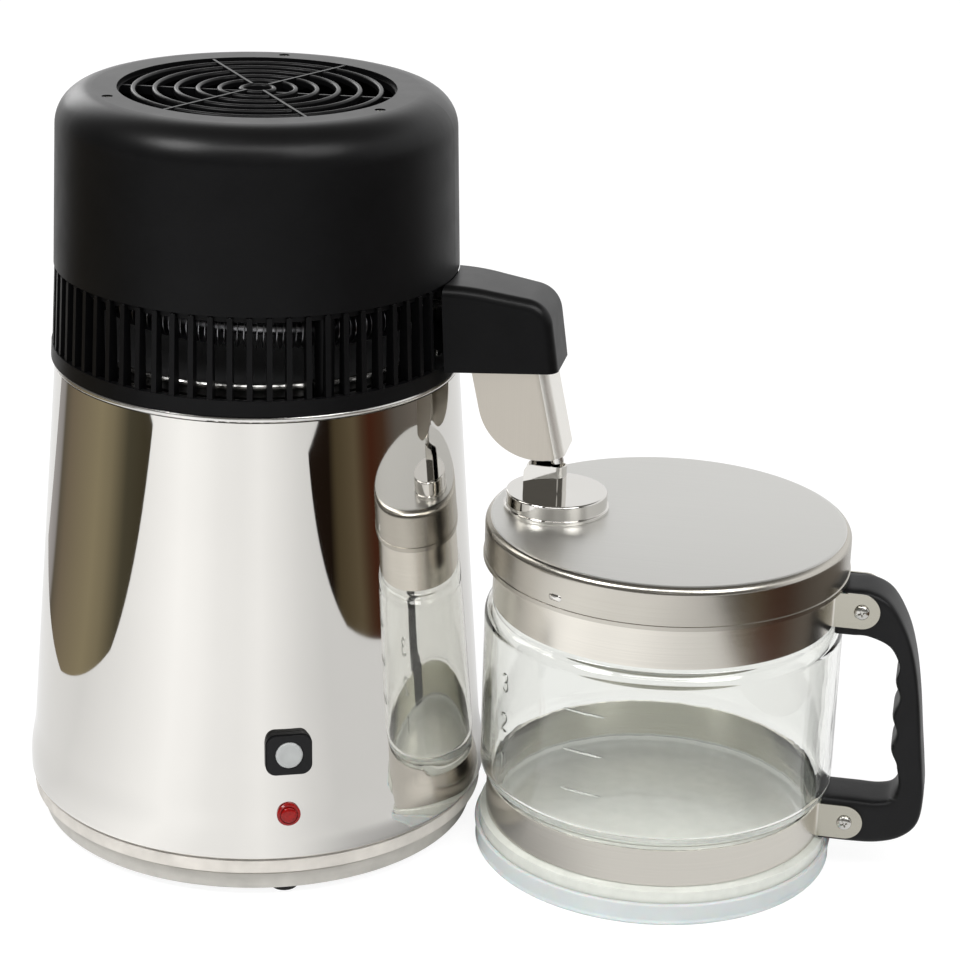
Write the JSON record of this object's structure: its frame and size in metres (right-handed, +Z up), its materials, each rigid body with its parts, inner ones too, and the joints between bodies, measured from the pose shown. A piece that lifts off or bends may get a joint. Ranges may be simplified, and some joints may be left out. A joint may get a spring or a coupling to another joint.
{
  "type": "countertop water distiller",
  "caption": "Countertop water distiller: polished steel boiler base with switch and lamp, lift-off black fan head with spout, and a glass carafe with steel lid and side handle.",
  "frame": {"origin": "on the boiler's axis at counter level, amid the four feet", "axes": "+Z up, +X from the boiler's axis to the spout and the carafe, +Y to the rear with the mains inlet"},
  "size_m": [0.4405, 0.2263, 0.36],
  "materials": {
    "polished_steel": "mirror polished stainless steel",
    "brushed_steel": "fine brushed stainless steel",
    "boiler_steel": "drawn stainless steel",
    "black_plastic": "satin black moulding",
    "base_plastic": "pale grey moulding",
    "grey_plastic": "grey moulding",
    "button_plastic": "pale grey button",
    "lamp_red": "clear red lens",
    "white_plastic": "white moulding",
    "foot_rubber": "black rubber",
    "silicone": "milky silicone",
    "jug_glass": "clear pressed glass",
    "tube_steel": "drawn stainless tube",
    "fin_aluminium": "bright finned tube",
    "heater_metal": "dark sheath",
    "screw_steel": "nickel plated",
    "pin_brass": "bright contact pins"
  },
  "bodies": {
    "base": {"outer_shell": "polished_steel", "base_ring": "base_plastic", "bottom_plate": "grey_plastic", "foot_1": "foot_rubber", "foot_2": "foot_rubber", "foot_3": "foot_rubber", "foot_4": "foot_rubber", "base_screws": "screw_steel", "boiler": "boiler_steel", "heater_element": "heater_metal", "heater_clamp": "fin_aluminium", "heater_nut": "screw_steel", "thermostat": "white_plastic", "thermal_fuse": "grey_plastic", "switch_bezel": "black_plastic", "switch_body": "grey_plastic", "lamp_lens": "lamp_red", "lamp_holder": "white_plastic", "power_inlet": "black_plastic", "inlet_pins": "pin_brass", "inlet_screws": "screw_steel", "fan_socket": "black_plastic"},
    "button": {"push_button": "button_plastic"},
    "head": {"dome_cover": "black_plastic", "fan_grille": "black_plastic", "cover_screws": "screw_steel", "vent_ring": "black_plastic", "ring_screws": "screw_steel", "spout_arm": "black_plastic", "spout_shield": "brushed_steel", "outlet_tube": "tube_steel", "condenser_coil": "fin_aluminium", "steam_riser": "tube_steel", "fan_motor": "heater_metal", "fan_bracket": "black_plastic", "fan_inlet": "black_plastic", "fan_inlet_pins": "pin_brass", "boiler_lid": "boiler_steel", "lid_gasket": "silicone", "lid_screws": "screw_steel"},
    "fan": {"fan_rotor": "black_plastic", "fan_shaft": "screw_steel"},
    "carafe": {"glass_jug": "jug_glass", "upper_band": "brushed_steel", "lower_band": "brushed_steel", "handle": "black_plastic", "handle_screws": "screw_steel", "handle_nuts": "screw_steel", "base_pad": "silicone"},
    "carafe_cover": {"carafe_lid": "brushed_steel", "lid_seal": "silicone", "inlet_disc": "polished_steel", "inlet_chute": "polished_steel"}
  },
  "joints": [
    {"name": "head_lift", "type": "slide", "parent": "base", "child": "head", "axis": [0, 0, 1], "range_m": [0, 0.15]},
    {"name": "fan_spin", "type": "hinge", "parent": "head", "child": "fan", "pos_m": [0, 0, 0.33], "axis": [0, 0, 1], "continuous": true},
    {"name": "button_press", "type": "slide", "parent": "base", "child": "button", "axis": [-0.3831, 0.9204, -0.0774], "range_m": [0, 0.0025], "stiffness_N_per_m": 400, "springref_m": -0.001},
    {"name": "carafe_slide", "type": "slide", "parent": "base", "child": "carafe", "axis": [1, 0, 0], "range_m": [0, 0.2]},
    {"name": "lid_turn", "type": "hinge", "parent": "carafe", "child": "carafe_cover", "pos_m": [0.199, 0, 0.168], "axis": [0, 0, 1], "continuous": true}
  ]
}
